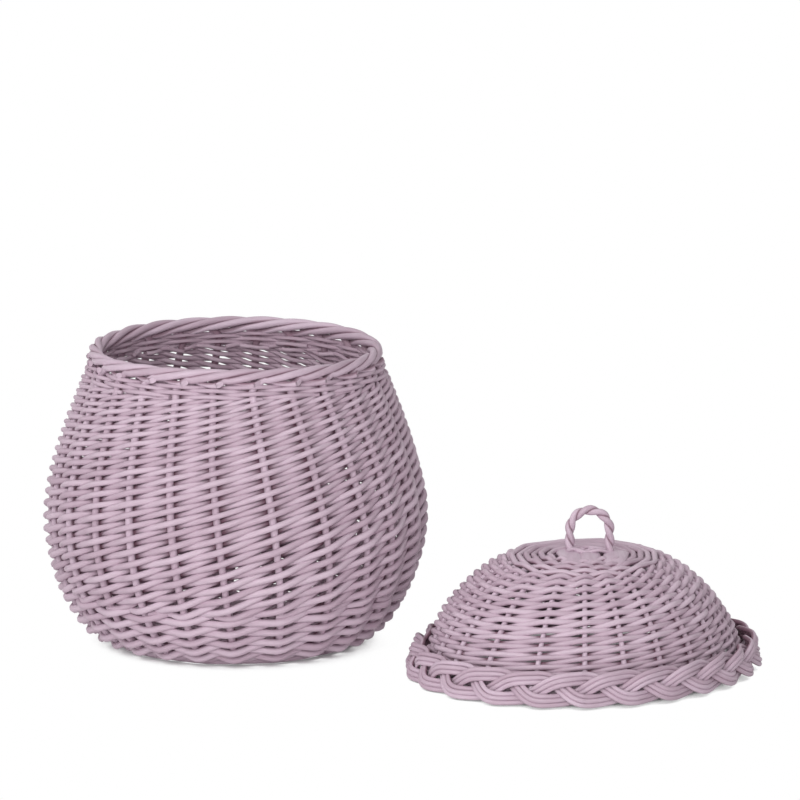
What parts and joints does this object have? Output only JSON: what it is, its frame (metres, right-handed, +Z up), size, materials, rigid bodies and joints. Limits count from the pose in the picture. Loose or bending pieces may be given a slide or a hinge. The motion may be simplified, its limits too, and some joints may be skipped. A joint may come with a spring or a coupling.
{
  "type": "lidded wicker storage basket",
  "caption": "Round-bellied woven willow storage basket with a rolled border, and its domed lid with a plaited brim and a twisted loop handle.",
  "frame": {"origin": "middle of the underside of the basket body, on the floor that it stands on", "axes": "+Z up along the body's axis; the front is towards -Y; the lid, set down beside the body, is towards +X"},
  "size_m": [0.7139, 0.5039, 0.3052],
  "materials": {
    "painted_weavers": "matte pale mauve paint on thin willow rods",
    "painted_rods": "matte pale mauve paint on thicker willow rods",
    "painted_base": "matte pale mauve paint, thinner on the underside"
  },
  "bodies": {
    "basket": {"stake_01": "painted_rods", "stake_02": "painted_rods", "stake_03": "painted_rods", "stake_04": "painted_rods", "stake_05": "painted_rods", "stake_06": "painted_rods", "stake_07": "painted_rods", "stake_08": "painted_rods", "stake_09": "painted_rods", "stake_10": "painted_rods", "stake_11": "painted_rods", "stake_12": "painted_rods", "stake_13": "painted_rods", "stake_14": "painted_rods", "stake_15": "painted_rods", "stake_16": "painted_rods", "stake_17": "painted_rods", "stake_18": "painted_rods", "stake_19": "painted_rods", "stake_20": "painted_rods", "stake_21": "painted_rods", "stake_22": "painted_rods", "stake_23": "painted_rods", "stake_24": "painted_rods", "wall_course_01": "painted_weavers", "wall_course_02": "painted_weavers", "wall_course_03": "painted_weavers", "wall_course_04": "painted_weavers", "wall_course_05": "painted_weavers", "wall_course_06": "painted_weavers", "wall_course_07": "painted_weavers", "wall_course_08": "painted_weavers", "wall_course_09": "painted_weavers", "wall_course_10": "painted_weavers", "wall_course_11": "painted_weavers", "wall_course_12": "painted_weavers", "wall_course_13": "painted_weavers", "wall_course_14": "painted_weavers", "wall_course_15": "painted_weavers", "wall_course_16": "painted_weavers", "wall_course_17": "painted_weavers", "wall_course_18": "painted_weavers", "foot_ring": "painted_weavers", "base_slath": "painted_base", "base_course_01": "painted_base", "base_course_02": "painted_base", "base_course_03": "painted_base"},
    "lid": {"lid_frame": "painted_rods", "lid_course_01": "painted_weavers", "lid_course_02": "painted_weavers", "lid_course_03": "painted_weavers", "lid_course_04": "painted_weavers", "lid_course_05": "painted_weavers", "lid_course_06": "painted_weavers", "lid_course_07": "painted_weavers", "brim_strand_01": "painted_rods", "brim_strand_02": "painted_rods", "brim_strand_03": "painted_rods", "handle_strand_01": "painted_rods", "handle_strand_02": "painted_rods"}
  },
  "joints": [
    {"name": "lid_lift", "type": "slide", "parent": "basket", "child": "lid", "axis": [0, 0, 1], "range_m": [0, 0.36]}
  ]
}
